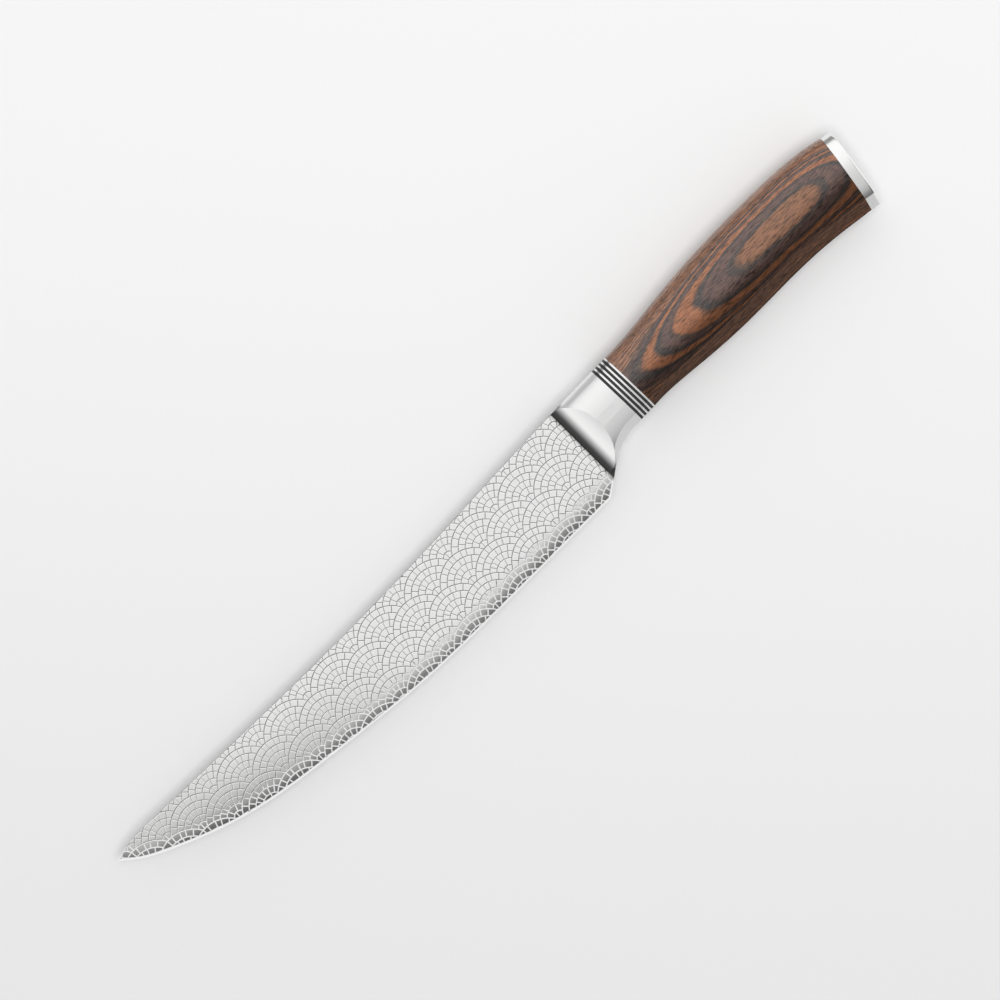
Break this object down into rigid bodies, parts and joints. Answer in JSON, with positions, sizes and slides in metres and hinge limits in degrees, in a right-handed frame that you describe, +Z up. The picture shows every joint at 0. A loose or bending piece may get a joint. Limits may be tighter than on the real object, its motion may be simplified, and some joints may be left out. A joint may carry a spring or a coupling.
{
  "type": "carving knife",
  "caption": "Carving knife with a long swayed blade in a raised scale pattern, a steel bolster, stacked spacers, an oval veneer handle and a steel end cap.",
  "frame": {"origin": "under the middle of the knife's bounding box, on the surface that it lies on, with the knife lying on its side", "axes": "+X along the knife from the tip to the butt, +Y from the cutting edge to the spine, +Z up out of the upper cheek"},
  "size_m": [0.3274, 0.0372, 0.019],
  "materials": {
    "blade_steel": "satin cheeks with a raised scale pattern, honed edge",
    "bolster_steel": "fine satin",
    "spacer_steel": "polished rim",
    "black_fibre": "polished flush, black",
    "veneer": "dyed pressed veneer, satin, purple-brown with orange-brown rings",
    "cap_steel": "polished",
    "rod_steel": "as turned"
  },
  "bodies": {
    "root": {"blade": "blade_steel", "bolster": "bolster_steel", "black_spacer_1": "black_fibre", "black_spacer_2": "black_fibre", "black_spacer_3": "black_fibre", "black_spacer_4": "black_fibre", "steel_spacer_1": "spacer_steel", "steel_spacer_2": "spacer_steel", "steel_spacer_3": "spacer_steel", "steel_spacer_4": "spacer_steel", "handle": "veneer", "tang_rod": "rod_steel", "rod_washer": "rod_steel", "rod_nut": "rod_steel", "end_cap": "cap_steel", "cap_pins": "rod_steel"}
  },
  "joints": []
}
